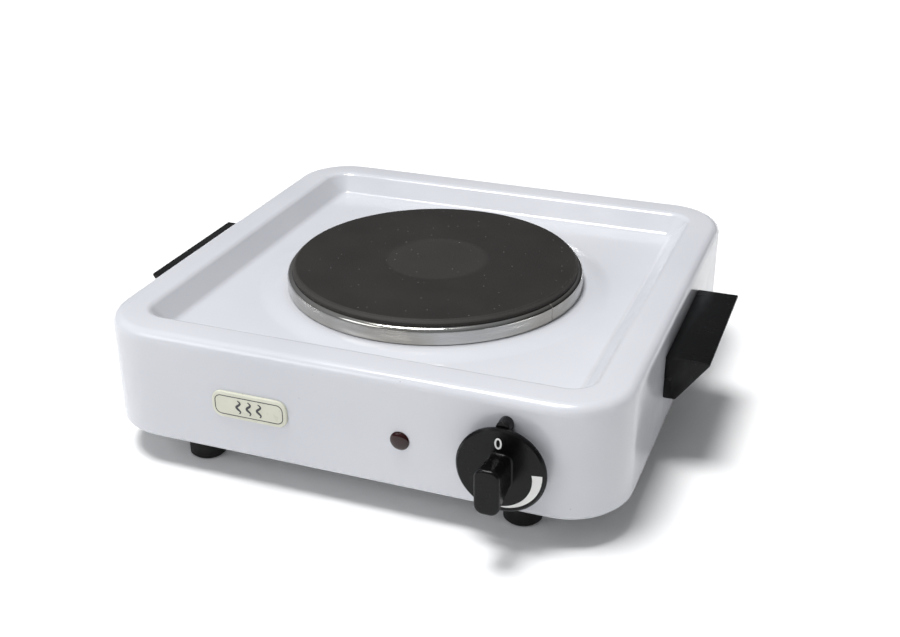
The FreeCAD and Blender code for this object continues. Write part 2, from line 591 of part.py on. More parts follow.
def hot_plate():
    """Cast-iron plate with its coils, cement, sheet cover, spill ring and clamping parts."""
    groove_out = f"({CASTING_RADIUS} - casting_wall)"
    groove_top = f"({PLATE_TOP} - casting_crown)"
    cement_foot = f"({CASTING_FOOT} + shield_sheet)"
    stud_top = f"({PLATE_TOP} - recess_depth - 6)"
    casting = turned([
        (0, f"{PLATE_TOP} - recess_depth"), ("recess_radius - recess_depth", f"{PLATE_TOP} - recess_depth"),
        ("recess_radius", PLATE_TOP), ("plate_radius - plate_chamfer", PLATE_TOP),
        ("plate_radius", f"{PLATE_TOP} - plate_chamfer"), ("plate_radius", SEAT),
        (CASTING_RADIUS, SEAT), (CASTING_RADIUS, CASTING_FOOT),
        (groove_out, CASTING_FOOT), (groove_out, groove_top), ("hub_radius", groove_top),
        ("hub_radius", CASTING_FOOT), ("stud_radius + fit_gap", CASTING_FOOT),
        ("stud_radius + fit_gap", stud_top), (0, stud_top)], PLATE_AT)
    node(casting, "hotplate_casting")

    cement = turned([("hub_radius", cement_foot), (groove_out, cement_foot), (groove_out, groove_top),
                     ("hub_radius", groove_top)], PLATE_AT)
    coils, cavities = [], []
    pitch = f"(({groove_out} - coil_margin - coil_inner) / 2)"
    for i in range(3):
        for radius, rings in (("coil_radius", coils), (f"coil_radius + {FIT}", cavities)):
            ring = DOC.addObject("Part::Torus", "Coil")
            bind(ring, Radius1=f"coil_inner + {i} * {pitch}", Radius2=radius)
            rings.append(place(ring, (0, "plate_y", f"({cement_foot} + {groove_top}) / 2")))
    node(cut(cement, *cavities), "insulating_cement")
    node(group(coils), "heating_coils")

    shield = turned([("stud_radius + 0.5", SHIELD_FOOT), (f"{groove_out} + 1.5", SHIELD_FOOT),
                     (f"{groove_out} + 1.5", CASTING_FOOT), ("stud_radius + 0.5", CASTING_FOOT)],
                    PLATE_AT)
    pin_holes = [rod("plate_pin + 0.6", 20, (x, PIN_Y, f"{SHIELD_FOOT} - 5")) for x in PINS]
    node(cut(shield, *pin_holes), "coil_cover")

    block = box(("3 * pin_pitch + 4", 13, "plate_block"), (0, PIN_Y, f"{SHIELD_FOOT} - plate_block / 2"))
    bores = [rod("plate_pin + fit_gap", 40, (x, PIN_Y, f"{SHIELD_FOOT} - 30")) for x in PINS]
    node(cut(block, *bores), "plate_terminal_block")
    node(group([rod("plate_pin", f"{cement_foot} - {PIN_FOOT}", (x, PIN_Y, PIN_FOOT)) for x in PINS]),
         "plate_terminal_pins")

    throat = "(plate_radius + fit_gap)"
    roll = f"({RING_RADIUS} - {throat})"
    roll_z = f"({SEAT} + ring_wall - {roll})"
    flange_end = f"({PANEL_HOLE} - 1)"
    outside = [(f"{throat} + {roll} * cos({angle})", f"{roll_z} + {roll} * sin({angle})")
               for angle in LIP_STEPS]
    inside = [(f"{throat} + ({roll} - ring_sheet) * cos({angle})",
               f"{roll_z} + ({roll} - ring_sheet) * sin({angle})") for angle in reversed(LIP_STEPS)]
    ring = turned([(flange_end, BOSS), (f"{RING_RADIUS} - 0.3", BOSS), (RING_RADIUS, f"{BOSS} + 0.3"),
                   *outside, *inside, (f"{RING_RADIUS} - ring_sheet", SEAT), (flange_end, SEAT)],
                  PLATE_AT)
    node(ring, "spill_ring")

    stud_foot = f"({stud_top} - stud_length)"
    node(turned([(0, stud_foot), ("stud_radius - 0.6", stud_foot), ("stud_radius", f"{stud_foot} + 0.6"),
                 ("stud_radius", stud_top), (0, stud_top)], PLATE_AT), "centre_stud")
    bridge_foot = f"({BRIDGE_TOP} - bridge_sheet)"
    heel, toe = f"({CASTING_RADIUS} + 3)", f"({BOSS_TOP_RADIUS} - 1.2)"
    under = f"({BOSS} - body_sheet)"
    bridge = extruded("XZ_Plane", [
        (f"-{toe}", under), (f"-{toe}", f"{under} - bridge_sheet"),
        (f"-{heel}", f"{under} - bridge_sheet"), (f"-{heel}", bridge_foot),
        (heel, bridge_foot), (heel, f"{under} - bridge_sheet"),
        (toe, f"{under} - bridge_sheet"), (toe, under),
        (f"{heel} - bridge_sheet", under), (f"{heel} - bridge_sheet", BRIDGE_TOP),
        (f"-({heel} - bridge_sheet)", BRIDGE_TOP), (f"-({heel} - bridge_sheet)", under)],
        "bridge_width", PLATE_AT)
    node(cut(bridge, rod("stud_radius + 0.3", 20, (0, "plate_y", f"{bridge_foot} - 9"))), "clamp_bridge")
    washer = turned([("stud_radius + fit_gap", f"{bridge_foot} - 1"), (6.5, f"{bridge_foot} - 1"),
                     (6.5, bridge_foot), ("stud_radius + fit_gap", bridge_foot)], PLATE_AT)
    node(washer, "clamp_washer")
    node(hexagon("stud_radius * 3.3", 5, "stud_radius + fit_gap", (0, "plate_y", f"{bridge_foot} - 6")),
         "clamp_nut")


# ---------------------------------------------------------------- control

def knob():
    """Round disc on a hollow collar, with a flared grip bar, bored for the flatted spindle."""
    front = "(knob_gap + skirt_depth)"
    back = f"({front} - disc_depth)"
    inside = f"({front} - knob_shell)"
    body = new_body()
    skirt = body.newObject("PartDesign::Revolution", "Skirt")
    skirt.Profile = polygon(body, "XZ_Plane", [
        (0, front), ("knob_radius - skirt_bevel", front), ("knob_radius", f"{front} - skirt_bevel"),
        ("knob_radius", back), ("collar_radius", back), ("collar_radius", "knob_gap"),
        ("collar_radius - knob_shell", "knob_gap"), ("collar_radius - knob_shell", inside),
        (6.2, inside), (6.2, "knob_gap"), (0, "knob_gap")])
    skirt.ReferenceAxis = (skirt.Profile[0], ["V_Axis"])
    skirt.Angle = 360
    body.Tip = skirt
    DOC.recompute()
    grip = body.newObject("PartDesign::AdditiveLoft", "Grip")
    grip.Profile = rounded_rectangle(body, "XY_Plane", "grip_root_width", "grip_root_length",
                                     "grip_root_width / 2 - 1", f"{front} - 1")
    grip.Sections = [rounded_rectangle(body, "XY_Plane", "grip_width", "grip_length",
                                       "grip_width / 2 - 1.4", "knob_reach")]
    body.Tip = grip
    DOC.recompute()
    round_edges(body, "1.2", at_height("knob_reach"))
    reach = number("grip_root_length / 2 + 1")
    flat = at_height(front)
    round_edges(body, "0.9", lambda edge: flat(edge) and edge.BoundBox.YMax < reach
                and edge.BoundBox.YMin > -reach)
    depth = "(knob_reach - 4 - knob_gap + 1)"
    shaft = rod(f"spindle_radius + {FIT}", depth, (0, 0, "knob_gap - 1"))
    keep = f"(spindle_flat + clip_sheet + {FIT})"
    flat_side = box((20, 20, 60), (f"{keep} - 10", 0, 10))
    bore = DOC.addObject("Part::Common", "Bore")
    bore.Base, bore.Tool = shaft, flat_side
    node(place(cut(body, bore), ("dial_x", FRONT, "dial_z"), "-Y"), "control_knob")
    clip = box(("clip_sheet", "spindle_radius * 1.3", "knob_reach - knob_gap - 9"),
               ("spindle_flat + clip_sheet / 2", 0, "(knob_reach + knob_gap) / 2"))
    node(place(group([clip]), ("dial_x", FRONT, "dial_z"), "-Y"), "knob_spring_clip")


def spindle():
    """Flatted steel spindle and the spiral cam on it."""
    rear = f"({FRONT_INSIDE} + front_plate + base_depth + base_cover)"
    length = f"({rear} - {FRONT} + knob_reach - 5)"
    shaft = rod("spindle_radius", length, (0, 0, 0))
    flat = box((10, 20, "knob_reach - knob_gap - 5"),
               ("spindle_flat + 5", 0, f"{length} - (knob_reach - knob_gap - 5) / 2"))
    node(place(cut(shaft, flat), ("dial_x", rear, "dial_z"), "-Y"), "control_spindle")

    low, lift, bore = number("cam_low"), number("cam_lift"), number(f"spindle_radius + {FIT}")
    turn = math.radians(TRAVEL)
    spiral = []
    for i in range(28):
        angle = math.pi + turn * i / 27
        reach = low + lift * i / 27
        spiral.append(Vector(reach * math.cos(angle), 0, reach * math.sin(angle)))
    curve = Part.BSplineCurve()
    curve.interpolate(spiral)
    outline = Part.Wire([curve.toShape(), Part.LineSegment(spiral[-1], spiral[0]).toShape()])
    hole = Part.Wire(Part.Circle(Vector(), Vector(0, 1, 0), bore).toShape())
    cam = DOC.addObject("Part::Feature", "Cam")
    face = Part.Face(outline).cut(Part.Face(hole))
    cam.Shape = face.extrude(Vector(0, number("cam_depth"), 0))
    place(cam, ("dial_x", f"{BASE_FRONT} + cam_start", "dial_z"))
    node(cam, "regulator_cam")


def across_y(radius, length, middle):
    """Rod along Y about its middle."""
    return rod(radius, length, (middle[0], f"{middle[1]} - ({length}) / 2", middle[2]), "+Y")


def regulator():
    """Front plate with bush, ceramic base with its pin guide, contacts and rear cover."""
    width = "(base_left + base_right)"
    middle_x = "(dial_x + (base_right - base_left) / 2)"
    cover_y = f"({BASE_FRONT} + base_depth)"
    plate_y = f"({FRONT_INSIDE} + front_plate / 2)"
    screws = [("dial_x", plate_y, f"dial_z + {s} * screw_spread") for s in (-1, 1)]
    plate = box((width, "front_plate", "base_height"), (middle_x, plate_y, "dial_z"))
    bush = rod("bush_radius", "front_plate / 2 + body_sheet + 1.2", ("dial_x", plate_y, "dial_z"), "-Y")
    bush_bore = across_y("spindle_radius + running_gap", 20, ("dial_x", plate_y, "dial_z"))
    taps = [across_y("screw_radius + fit_gap", 20, at) for at in screws]
    node(cut(fuse(plate, bush), bush_bore, *taps), "regulator_front_plate")

    outer = box((width, "base_depth", "base_height"),
                (middle_x, f"{BASE_FRONT} + base_depth / 2", "dial_z"))
    cavity = box((f"{width} - 2 * base_wall", "base_depth", "base_height - 2 * base_wall"),
                 (middle_x, f"{BASE_FRONT} + base_wall + base_depth / 2", "dial_z"))
    guide_depth = "(cam_start + cam_depth + 2)"
    guide = box(("guide_length", guide_depth, 8),
                ("dial_x - guide_start - guide_length / 2", f"{BASE_FRONT} + {guide_depth} / 2", "dial_z"))
    guide_bore = rod("pin_radius + running_gap", 12, ("dial_x - guide_start + 2", CAM_Y, "dial_z"), "-X")
    front_bores = [across_y("spindle_radius + 0.6", 9, ("dial_x", BASE_FRONT, "dial_z"))]
    front_bores += [across_y("screw_radius + 0.4", 9, (x, BASE_FRONT, z)) for x, _, z in screws]
    node(cut(fuse(cut(outer, cavity, *front_bores), guide), guide_bore), "regulator_base")

    pin = turned([(0, 0), ("pin_radius - 1", 0), ("pin_radius", 1), ("pin_radius", "pin_length - 1"),
                  ("pin_radius - 1", "pin_length"), (0, "pin_length")],
                 ("dial_x - cam_low - free_gap", CAM_Y, "dial_z"), "-X")
    node(pin, "push_pin")

    cover = box((width, "base_cover", "base_height"), (middle_x, f"{cover_y} + base_cover / 2", "dial_z"))
    loose = "2 * fit_gap"
    slots = [box((f"arm_sheet + {loose}", 20, f"arm_width + {loose}"), (STRIP_X, cover_y, CONTACT_Z)),
             box((f"post_width + {loose}", 20, f"{POST_HEIGHT} + {loose}"), (ARM_X, cover_y, POST_Z)),
             across_y("spindle_radius + running_gap", 20, ("dial_x", cover_y, "dial_z"))]
    node(cut(cover, *slots), "regulator_rear_cover")
    heads = [screw("screw_radius", 6, 3.6, 2.0, (x, FRONT, z), "+Y") for x, _, z in screws]
    node(group(heads), "regulator_screws")


def contacts():
    """Contact arm on its hinge pin, the post that carries it, and the two contacts."""
    leaf = box(("arm_sheet", "arm_width", "arm_below + arm_above"),
               (ARM_X, CAM_Y, f"{PIVOT_Z} + (arm_below + arm_above) / 2"))
    pivot = (ARM_X, CAM_Y, PIVOT_Z)
    eye = across_y("eye_radius", "arm_width", pivot)
    eye_bore = across_y("hinge_pin + running_gap", "arm_width", pivot)
    node(cut(fuse(leaf, eye), eye_bore), "contact_arm")
    rivet_x = f"({ARM_X} - arm_sheet / 2)"
    node(rod("contact_radius", "contact_depth", (rivet_x, CAM_Y, CONTACT_Z), "-X"), "moving_contact")

    strip_start = f"({CAM_Y} - arm_width / 2)"
    strip = box(("arm_sheet", f"{TAB_END} - {strip_start}", "arm_width"),
                (STRIP_X, f"({TAB_END} + {strip_start}) / 2", CONTACT_Z))
    fixed_x = f"({rivet_x} - contact_depth - contact_travel)"
    rivet = rod("contact_radius", "contact_depth", (fixed_x, CAM_Y, CONTACT_Z), "-X")
    node(fuse(strip, rivet), "fixed_contact")

    reach = "(arm_width / 2 + free_gap + lug_sheet)"
    post_length = f"({TAB_END} - {CAM_Y} + {reach})"
    post = box(("post_width", post_length, POST_HEIGHT), (ARM_X, f"{TAB_END} - {post_length} / 2", POST_Z))
    lug_height = f"({PIVOT_Z} + eye_radius - {BASE_FLOOR})"
    lugs = [box(("post_width", "lug_sheet", lug_height),
                (ARM_X, f"{CAM_Y} + {s} * ({reach} - lug_sheet / 2)", f"{BASE_FLOOR} + {lug_height} / 2"))
            for s in (-1, 1)]
    node(fuse(post, *lugs, across_y("hinge_pin", f"2 * {reach}", pivot)), "arm_post")


# ---------------------------------------------------------------- front wall

def pointer():
    """Fixed pointer above the knob: a rounded block with a snap pin through the wall."""
    block = box(("pointer_width", "pointer_depth", f"{POINTER_PIN_Z} - {POINTER_FOOT}"),
                ("dial_x", f"{FRONT} - pointer_depth / 2", f"({POINTER_FOOT} + {POINTER_PIN_Z}) / 2"))
    crown = rod("pointer_width / 2", "pointer_depth", ("dial_x", FRONT, POINTER_PIN_Z), "-Y")
    below = box((20, 20, 10), ("dial_x", FRONT, f"{POINTER_FOOT} - 5"))
    pin = rod(1.5, "body_sheet + 3", ("dial_x", FRONT, POINTER_PIN_Z), "+Y")
    node(fuse(cut(fuse(block, crown), below), pin), "dial_pointer")


def pilot_lamp():
    """Lens with a domed front, holder tube, neon tube and the ring that holds them."""
    start = "(body_sheet + 2)"
    sleeve = turned([(0, 0), ("lamp_hole", 0), ("lamp_hole", start), ("lamp_hole - 1", start),
                     ("lamp_hole - 1", 0.2), (0, 0.2)])
    dome = turned([(0, 0), ("lens_radius", 0), ("lens_radius", -0.5),
                   ("lens_radius - 0.35", "-lens_dome * 0.6"), ("lens_radius * 0.7", "-lens_dome * 0.88"),
                   ("lens_radius * 0.35", "-lens_dome * 0.98"), (0, "-lens_dome")])
    node(place(fuse(dome, sleeve), ("lamp_x", FRONT, "lamp_z"), "+Y"), "pilot_lens")
    holder = turned([("lamp_hole - 1", start), ("lamp_hole", start), ("lamp_hole", "lamp_depth"),
                     (0, "lamp_depth"), (0, "lamp_depth - 1.2"), ("lamp_hole - 1", "lamp_depth - 1.2")])
    node(place(holder, ("lamp_x", FRONT, "lamp_z"), "+Y"), "pilot_lamp_holder")
    tube = turned([(0, 3.4), (1.2, 3.4), (2.2, 4.4), (2.2, "lamp_depth - 1.2"), (0, "lamp_depth - 1.2")])
    node(place(tube, ("lamp_x", FRONT, "lamp_z"), "+Y"), "pilot_neon_tube")
    ring = turned([("lamp_hole", "body_sheet"), (6.5, "body_sheet"), (6.5, "body_sheet + 0.6"),
                   ("lamp_hole", "body_sheet + 0.6")])
    node(place(ring, ("lamp_x", FRONT, "lamp_z"), "+Y"), "pilot_retaining_ring")


def badge():
    """Oblong badge with two pins through the wall."""
    plate = new_body()
    pad(plate, rounded_rectangle(plate, "XY_Plane", "badge_width", "badge_height", "badge_height * 0.38"),
        "badge_depth")
    round_edges(plate, "0.5", at_height("badge_depth"))
    pins = [rod(1.2, "body_sheet + 2", (f"{s} * badge_width / 3", 0, "-body_sheet - 2")) for s in (-1, 1)]
    node(place(fuse(plate, *pins), ("badge_x", FRONT, "badge_z"), "-Y"), "badge_plate")


# ---------------------------------------------------------------- side handles

def handle(side, label):
    """Hollow wedge moulding with a flat top, open towards the casing, with two screw bosses."""
    drop = "(handle_top - handle_drop)"
    outer = new_body()
    place(outer, (f"{side} * body_width / 2", 0, 0))
    pad(outer, polygon(outer, "XZ_Plane", [
        (0, drop), (f"{side} * handle_foot", drop), (f"{side} * handle_reach", "handle_top - handle_tip"),
        (f"{side} * handle_reach", "handle_top"), (0, "handle_top")]), "handle_length", True)
    round_edges(outer, "0.6", lambda edge: max(abs(edge.BoundBox.XMin), abs(edge.BoundBox.XMax)) > 0.01)
    floor, ceiling = f"{drop} + handle_wall", "handle_top - handle_wall"
    inner = new_body()
    place(inner, (f"{side} * body_width / 2", 0, 0))
    pad(inner, polygon(inner, "XZ_Plane", [
        (f"-{side}", floor), (f"{side} * (handle_foot - handle_wall / 2)", floor),
        (f"{side} * (handle_reach - handle_wall * 3)", ceiling), (f"-{side}", ceiling)]),
        "handle_length - 2 * handle_wall", True)
    facing = "+X" if side > 0 else "-X"
    bosses, holes, screws = [], [], []
    for y in HANDLE_SCREWS:
        at = (f"{side} * body_width / 2", y, HANDLE_SCREW_Z)
        bosses.append(rod("screw_radius + 2", "handle_foot + 4", at, facing))
        holes.append(rod("screw_radius + fit_gap", "handle_foot + 2", at, facing))
        screws.append(screw("screw_radius", "handle_foot + 1.5 + body_sheet", 3.8, 2.4,
                            (f"{side} * (body_width / 2 - body_sheet)", y, HANDLE_SCREW_Z), facing))
    node(cut(fuse(cut(outer, inner), *bosses), *holes), label)
    return screws


# ---------------------------------------------------------------- back wall

def gland():
    """Cord gland: flanged bush through the back wall, held by a nut."""
    bush = turned([
        ("gland_bore", "-gland_inside"), ("gland_neck", "-gland_inside"), ("gland_neck", 0),
        ("gland_flange", 0), ("gland_flange", 2.5), ("gland_neck + 0.8", "3.2"),
        ("gland_neck - 0.6", "gland_reach"), ("gland_bore", "gland_reach")],
        ("gland_x", BACK, "gland_z"), "+Y")
    node(bush, "cord_gland")
    node(hexagon("gland_neck * 2.9", 5, "gland_neck + fit_gap", ("gland_x", BACK_INSIDE, "gland_z"), "-Y"),
         "cord_gland_nut")


def mains_block():
    """Three-pole ceramic terminal block, its inserts, screws and the earth screw."""
    face_y = f"({BACK_INSIDE} - block_depth)"
    middle_y = f"({BACK_INSIDE} - block_depth / 2)"
    block = box(("block_width", "block_depth", "block_height"), ("block_x", middle_y, "block_z"))
    pocket = "(insert_size + 2 * fit_gap)"
    screw_length = "(block_depth / 2 - insert_size / 2)"
    slots, inserts, screws = [], [], []
    for x in POLES:
        slots.append(box((pocket, pocket, 40), (x, middle_y, "block_z")))
        metal = box(("insert_size", "insert_size", "block_height"), (x, middle_y, "block_z"))
        bores = [rod("wire_radius + fit_gap", 5, (x, middle_y, "block_z + block_height / 2 - 5")),
                 rod("wire_radius + fit_gap", 5, (x, middle_y, "block_z - block_height / 2"))]
        inserts.append(cut(metal, *bores))
        for s in (-1, 1):
            at = (x, face_y, f"block_z + {s} * 3.5")
            slots.append(rod(1.4, screw_length, at, "+Y"))
            screws.append(screw(1.3, screw_length, 2.2, 1.2, at, "+Y"))
    screw_x = "(block_x + block_pitch / 2)"
    slots.append(rod("screw_radius + fit_gap", 8, (screw_x, BACK_INSIDE, "block_z"), "-Y"))
    node(cut(block, *slots), "mains_terminal_block")
    node(group(inserts), "terminal_inserts")
    node(group(screws), "terminal_clamp_screws")
    node(screw("screw_radius", 7, 3.6, 2.2, (screw_x, BACK, "block_z"), "-Y"), "terminal_block_screw")
    node(screw("screw_radius", 9, 3.6, 2.2, ("earth_x", BACK, "earth_z"), "-Y"), "earth_screw")
    ring = rod(4.2, 0.8, (0, 0, 0))
    barrel = rod("wire_radius + 0.6", 8, (0, "-5", "wire_radius + 0.6"), "-Y")
    strap = box((3.2, 4, 0.8), (0, -5, 0.4))
    hole = rod("screw_radius + fit_gap", 9, (0, 0, -1))
    crimp = rod("wire_radius + fit_gap", 5, (0, "-8.2", "wire_radius + 0.6"), "-Y")
    lug = cut(fuse(ring, strap, barrel), hole, crimp)
    node(place(lug, ("earth_x", BACK_INSIDE, "earth_z"), "-Y"), "earth_lug")
    node(hexagon("screw_radius * 3.5", 3.2, "screw_radius + fit_gap",
                 ("earth_x", f"{BACK_INSIDE} - 0.8", "earth_z"), "-Y"), "earth_nut")


# ---------------------------------------------------------------- wiring

def wiring():
    """Mains, heater, earth and lamp wires along their clipped routes."""
    left, middle, right = POLES
    block_y = f"({BACK_INSIDE} - block_depth / 2)"
    entry = "(block_z - block_height / 2 + 4)"
    lug_y = f"({BACK_INSIDE} - wire_radius - 0.6)"
    wire("live_wire", [(left, block_y, entry), (left, block_y, 25), (29, 92, 21.5), (42, 40, 21),
                       (56, -20, 22), (ARM_X, f"{TAB_END} + 30", POST_Z), (ARM_X, TAB_END, POST_Z)])
    wire("neutral_wire", [(middle, block_y, entry), (middle, block_y, 28), (31, 100, 27.5), (18, 66, 27),
                          ("pin_pitch", PIN_Y, 25.5), ("pin_pitch", PIN_Y, PIN_FOOT)])
    wire("switched_live_wire", [(STRIP_X, TAB_END, CONTACT_Z), (STRIP_X, f"{TAB_END} + 16", CONTACT_Z),
                                (49, -50, 36), (20, -14, 29), (-7, 14, 25), ("-pin_pitch", PIN_Y, 25.5),
                                ("-pin_pitch", PIN_Y, PIN_FOOT)])
    wire("earth_wire", [(right, block_y, "block_z + block_height / 2 - 4"), (right, block_y, 52),
                        (34, 113, 55), (17, 114, 54.5), ("earth_x", lug_y, 54),
                        ("earth_x", lug_y, "earth_z + 8.3")])
    lamp_y = f"({FRONT} + lamp_depth)"
    lead_end = (f"{PIN_Y} - plate_pin", 39)
    wire("pilot_lead_switched", [("lamp_x - 1.8", lamp_y, "lamp_z"),
                                 ("lamp_x - 1.8", f"{lamp_y} + 9", "lamp_z"), (18, -72, 36),
                                 (2, -45, 34), (-13, -15, 33), (-15, 10, 35),
                                 ("-pin_pitch", f"{PIN_Y} - 14", 39), ("-pin_pitch", *lead_end)],
         "lead_radius")
    wire("pilot_lead_neutral", [("lamp_x + 1.8", lamp_y, "lamp_z"),
                                ("lamp_x + 1.8", f"{lamp_y} + 9", "lamp_z"), (34, -68, 39),
                                (32, -40, 39), (24, -12, 38), (14, 10, 38),
                                ("pin_pitch", f"{PIN_Y} - 14", 39), ("pin_pitch", *lead_end)], "lead_radius")


# ---------------------------------------------------------------- assembly

def check():
    """Stop before anything is written if a feature failed or a piece is not a sound solid."""
    for thing in DOC.Objects:
        if {"Invalid", "Error"} & set(thing.State):
            raise RuntimeError(f"{thing.Name} failed: {thing.State}")
    for thing in NODES:
        if thing.Shape.isNull() or not thing.Shape.isValid() or not thing.Shape.Solids:
            raise RuntimeError(f"{thing.Label} is not a sound solid")


def main():
    casing()
    bottom_cover()
    feet()
    hot_plate()
    knob()
    spindle()
    regulator()
    contacts()
    pointer()
    pilot_lamp()
    badge()
    handle_screws = handle(1, "right_handle") + handle(-1, "left_handle")
    node(group(handle_screws), "handle_screws")
    gland()
    mains_block()
    wiring()
    DOC.recompute()
    check()
    os.makedirs("parts", exist_ok=True)
    for thing in NODES:
        thing.Shape.exportStep(f"parts/{thing.Label}.step")
        print(thing.Label, len(thing.Shape.Solids), round(thing.Shape.Volume, 1))


main()
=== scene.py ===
"""Looks of the single hot plate burner: smooth enamel casing, cast-iron plate, polished ring,
control markings, badge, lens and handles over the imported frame, with studio light and camera.

Lengths are in millimetres unless a name ends in _m. Sizes inside a material's nodes are in metres.
"""

import json
import math

import bmesh
import bpy
from mathutils import Matrix, Vector


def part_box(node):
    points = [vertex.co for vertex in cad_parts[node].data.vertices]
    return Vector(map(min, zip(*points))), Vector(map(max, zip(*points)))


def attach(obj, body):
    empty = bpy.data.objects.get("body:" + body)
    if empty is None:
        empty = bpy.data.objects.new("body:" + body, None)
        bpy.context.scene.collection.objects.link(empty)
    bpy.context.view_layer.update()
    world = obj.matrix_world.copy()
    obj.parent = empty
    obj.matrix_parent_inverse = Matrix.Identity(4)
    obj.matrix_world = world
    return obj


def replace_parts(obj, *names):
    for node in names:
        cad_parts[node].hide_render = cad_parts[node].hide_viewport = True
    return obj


MM = 0.001

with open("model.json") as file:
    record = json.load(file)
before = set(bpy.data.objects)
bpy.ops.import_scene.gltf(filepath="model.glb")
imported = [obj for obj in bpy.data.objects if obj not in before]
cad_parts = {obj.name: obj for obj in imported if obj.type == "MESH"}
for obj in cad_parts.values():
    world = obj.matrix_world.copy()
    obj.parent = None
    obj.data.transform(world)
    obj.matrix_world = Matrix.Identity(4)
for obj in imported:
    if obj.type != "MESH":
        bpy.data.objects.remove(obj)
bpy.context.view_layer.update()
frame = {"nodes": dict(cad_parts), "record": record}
NODES = frame["nodes"]


def span(node):
    """Lowest and highest corner of a CAD node, in millimetres."""
    low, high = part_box(node)
    return low / MM, high / MM


PLATE_LOW, PLATE_HIGH = span("hotplate_casting")
PLATE_RADIUS = (PLATE_HIGH.x - PLATE_LOW.x) / 2
AXIS = (PLATE_LOW + PLATE_HIGH) / 2
AXIS_M = AXIS * MM
RING_LOW, RING_HIGH = span("spill_ring")
RING_RADIUS = (RING_HIGH.x - RING_LOW.x) / 2
STRIP = 0.8                    # thickness of the ring's steel strip
RING_SEAT = RING_LOW.z + STRIP

KNOB_LOW, KNOB_HIGH = span("control_knob")
DIAL = (KNOB_LOW + KNOB_HIGH) / 2
SKIRT_DEPTH = 6.6              # knob's disc and collar, front to back
SKIRT_FACE = KNOB_HIGH.y - SKIRT_DEPTH
KNOB_GAP = 1.6                 # room between the knob and the front wall
WALL_FACE = KNOB_HIGH.y + KNOB_GAP


# ---------------------------------------------------------------- mesh helpers

def new_piece(name, verts, faces, body, slot, sharp=32, finish=None):
    """Mesh object from vertices in millimetres, smooth apart from edges sharper than `sharp`."""
    mesh = bpy.data.meshes.new(name)
    mesh.from_pydata([Vector(v) * MM for v in verts], [], faces)
    tidy = bmesh.new()
    tidy.from_mesh(mesh)
    bmesh.ops.remove_doubles(tidy, verts=tidy.verts, dist=1e-7)
    bmesh.ops.recalc_face_normals(tidy, faces=tidy.faces)
    tidy.to_mesh(mesh)
    tidy.free()
    mesh.polygons.foreach_set("use_smooth", [True] * len(mesh.polygons))
    mesh.set_sharp_from_angle(angle=math.radians(sharp))
    obj = bpy.data.objects.new(name, mesh)
    bpy.context.scene.collection.objects.link(obj)
    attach(obj, body)
    obj.data.materials.append(MATERIALS[finish or slot])
    return obj


def rounded(points, steps):
    """Polyline through (u, v, radius) points with an arc at every point that has a radius."""
    path = []
    last = len(points) - 1
    for i, (u, v, radius) in enumerate(points):
        here = Vector((u, v))
        if radius <= 0 or i in (0, last):
            path.append((u, v))
            continue
        back = (Vector(points[i - 1][:2]) - here).normalized()
        ahead = (Vector(points[i + 1][:2]) - here).normalized()
        half = back.angle(ahead) / 2
        reach = radius / math.tan(half)
        middle = here + (back + ahead).normalized() * radius / math.sin(half)
        start = here + back * reach - middle
        end = here + ahead * reach - middle
        turn = start.angle_signed(end)
        for k in range(steps + 1):
            arm = start.copy()
            arm.rotate(Matrix.Rotation(-turn * k / steps, 2))
            path.append(tuple(middle + arm))
    return path


def lathe(profile, angles, place):
    """Closed profile of (radius, height) swept round (angle, shrink) stations."""
    verts, faces = [], []
    count, turns = len(profile), len(angles)
    for angle, shrink in angles:
        for radius, height in profile:
            r = max(radius - shrink, 0.0)
            verts.append(place @ Vector((r * math.cos(angle), r * math.sin(angle), height)))
    for i in range(turns):
        here, ahead = i * count, (i + 1) % turns * count
        for j in range(count):
            k = (j + 1) % count
            faces.append((here + j, here + k, ahead + k, ahead + j))
    return verts, faces


def full_turn(count):
    """Even stations all the way round, none of them shrunk."""
    return [(2 * math.pi * i / count, 0.0) for i in range(count)]


def outline(half_w, half_h, radius, inset, arc, straight):
    """Rounded rectangle moved inwards; the same number of points for every inset."""
    smallest = 0.8
    w, h, r = half_w - inset, half_h - inset, max(radius - inset, smallest)
    corners = [(w - r, -h + r, -90), (w - r, h - r, 0), (-w + r, h - r, 90), (-w + r, -h + r, 180)]
    arcs = []
    for cx, cy, first in corners:
        turn = [math.radians(first + 90 * k / arc) for k in range(arc + 1)]
        arcs.append([(cx + r * math.cos(t), cy + r * math.sin(t)) for t in turn])
    points = []
    for i in range(4):
        points += arcs[i]
        (x0, y0), (x1, y1) = arcs[i][-1], arcs[(i + 1) % 4][0]
        for k in range(1, straight):
            points.append((x0 + (x1 - x0) * k / straight, y0 + (y1 - y0) * k / straight))
    return points


def bridge(rows, close_ends=False):
    """Vertices and faces of a skin through closed rows of equal length."""
    count = len(rows[0])
    verts = [v for row in rows for v in row]
    faces = []
    for i in range(len(rows) - 1):
        here, ahead = i * count, (i + 1) * count
        for j in range(count):
            k = (j + 1) % count
            faces.append((here + j, here + k, ahead + k, ahead + j))
    if close_ends:
        faces.append(tuple(range(count)))
        faces.append(tuple(len(verts) - count + j for j in range(count)))
    return verts, faces


